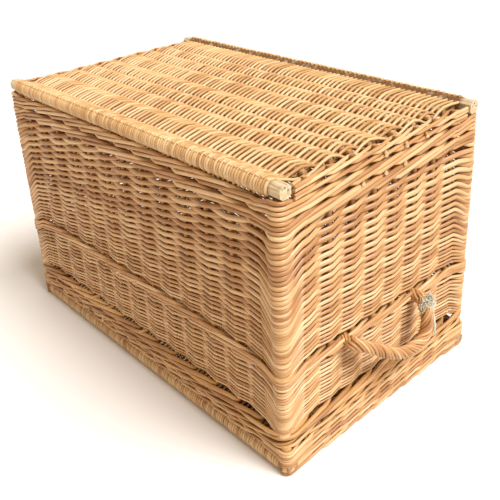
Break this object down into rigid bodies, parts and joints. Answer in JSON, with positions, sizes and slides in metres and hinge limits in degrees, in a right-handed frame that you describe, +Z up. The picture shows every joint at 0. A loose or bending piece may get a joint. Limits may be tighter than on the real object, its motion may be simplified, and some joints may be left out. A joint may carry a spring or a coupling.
{
  "type": "wicker storage trunk",
  "caption": "Large rectangular trunk of woven peeled willow with twisted rod handles on its ends and a shallow hinged lid, turned over so that it stands on the lid.",
  "frame": {"origin": "on the floor, under the middle of the trunk as it stands on its lid", "axes": "+X along the long sides, +Y towards the hinged long side, +Z up in the turned-over attitude, so the base panel is on top and the lid panel is on the floor"},
  "size_m": [0.8788, 0.508, 0.5],
  "materials": {
    "pole": "raw squared willow pole, whitish yellow on its cut ends, dry and matt",
    "stick": "peeled willow stick, pale straw, satin",
    "stake": "peeled willow stakes, honey brown, satin",
    "post": "peeled willow corner posts, honey brown, satin",
    "panel": "close plain weave of peeled willow, pale honey, satin sheen",
    "wale": "waling of peeled willow rods, honey, satin sheen",
    "randing": "slanting French randing of peeled willow rods, honey to tan, satin sheen",
    "handle": "rope-twisted willow rods, honey with greyer frayed ends, satin",
    "hinge": "twisted willow rod bent into a loop, honey brown, satin"
  },
  "bodies": {
    "lid": {"lid_front_pole": "pole", "lid_back_pole": "pole", "lid_stick_1": "stick", "lid_stick_2": "stick", "lid_stick_3": "stick", "lid_stick_4": "stick", "lid_stick_5": "stick", "lid_stick_6": "stick", "lid_stick_7": "stick", "lid_stick_8": "stick", "lid_panel": "panel", "lid_stakes_front": "stake", "lid_stakes_right": "stake", "lid_stakes_back": "stake", "lid_stakes_left": "stake", "lid_wale_front": "wale", "lid_wale_right": "wale", "lid_wale_back": "wale", "lid_wale_left": "wale", "hinge_loop_left": "hinge", "hinge_loop_right": "hinge"},
    "trunk": {"base_front_pole": "pole", "base_back_pole": "pole", "base_stick_1": "stick", "base_stick_2": "stick", "base_stick_3": "stick", "base_stick_4": "stick", "base_stick_5": "stick", "base_stick_6": "stick", "base_stick_7": "stick", "base_stick_8": "stick", "base_panel": "panel", "corner_post_front_left": "post", "corner_post_front_right": "post", "corner_post_back_right": "post", "corner_post_back_left": "post", "stakes_front": "stake", "stakes_right": "stake", "stakes_back": "stake", "stakes_left": "stake", "upsett_wale_front": "wale", "upsett_wale_right": "wale", "upsett_wale_back": "wale", "upsett_wale_left": "wale", "deep_randing_front": "randing", "deep_randing_right": "randing", "deep_randing_back": "randing", "deep_randing_left": "randing", "mid_wale_front": "wale", "mid_wale_right": "wale", "mid_wale_back": "wale", "mid_wale_left": "wale", "rim_randing_front": "randing", "rim_randing_right": "randing", "rim_randing_back": "randing", "rim_randing_left": "randing", "handle_right": "handle", "handle_left": "handle"}
  },
  "joints": [
    {"name": "lid_hinge", "type": "hinge", "parent": "lid", "child": "trunk", "pos_m": [0, 0.241, 0.0772], "axis": [-1, 0, 0], "range_deg": [0, 100]}
  ]
}
